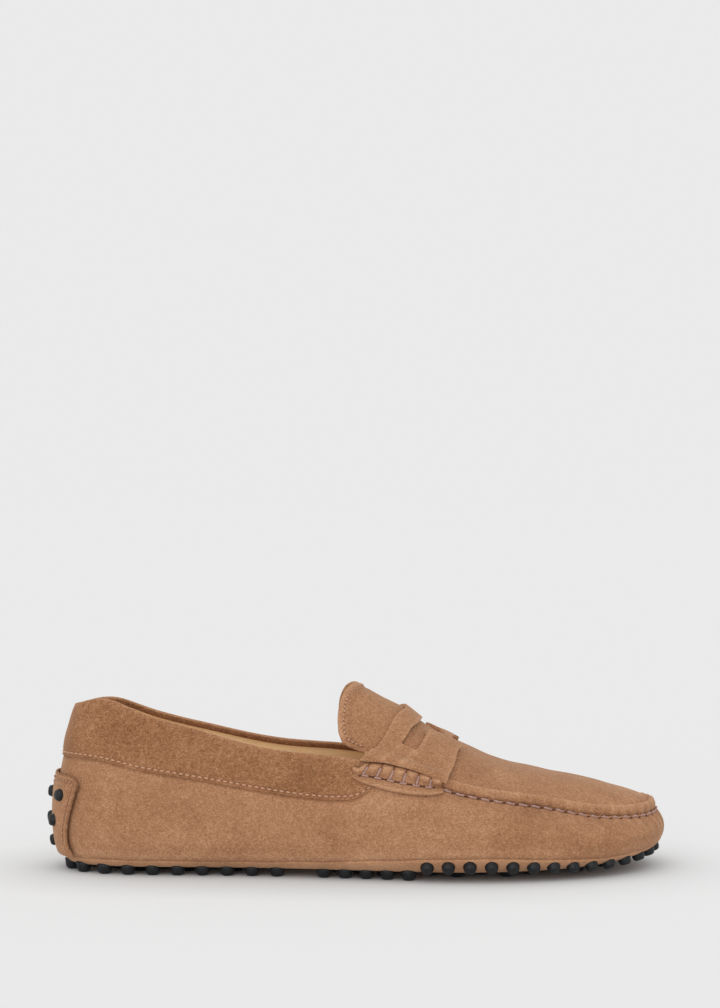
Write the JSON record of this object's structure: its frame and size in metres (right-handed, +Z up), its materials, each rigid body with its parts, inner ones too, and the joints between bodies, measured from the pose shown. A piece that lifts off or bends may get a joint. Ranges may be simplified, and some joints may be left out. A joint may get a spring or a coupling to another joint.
{
  "type": "driving moccasin",
  "caption": "Soft slip-on moccasin with a raised apron seam, a slotted saddle strap and a turned-up pebbled bottom that also studs the heel.",
  "frame": {"origin": "on the floor under the middle of the shoe's overall length and width", "axes": "+X towards the toe, +Y towards the inner side of the foot, +Z up"},
  "size_m": [0.2871, 0.1026, 0.0856],
  "materials": {
    "suede": "napped suede, soft and matte",
    "bottom": "napped suede bottom with black rubber pebbles through it",
    "sock": "smooth tan lining leather",
    "rubber": "black moulded rubber, soft sheen"
  },
  "bodies": {
    "root": {"upper": "suede", "apron": "suede", "saddle_strap": "suede", "strap_roll_outer": "suede", "strap_roll_inner": "suede", "sole": "bottom", "insole": "sock", "heel_tab": "suede", "heel_pebbles": "rubber"}
  },
  "joints": []
}
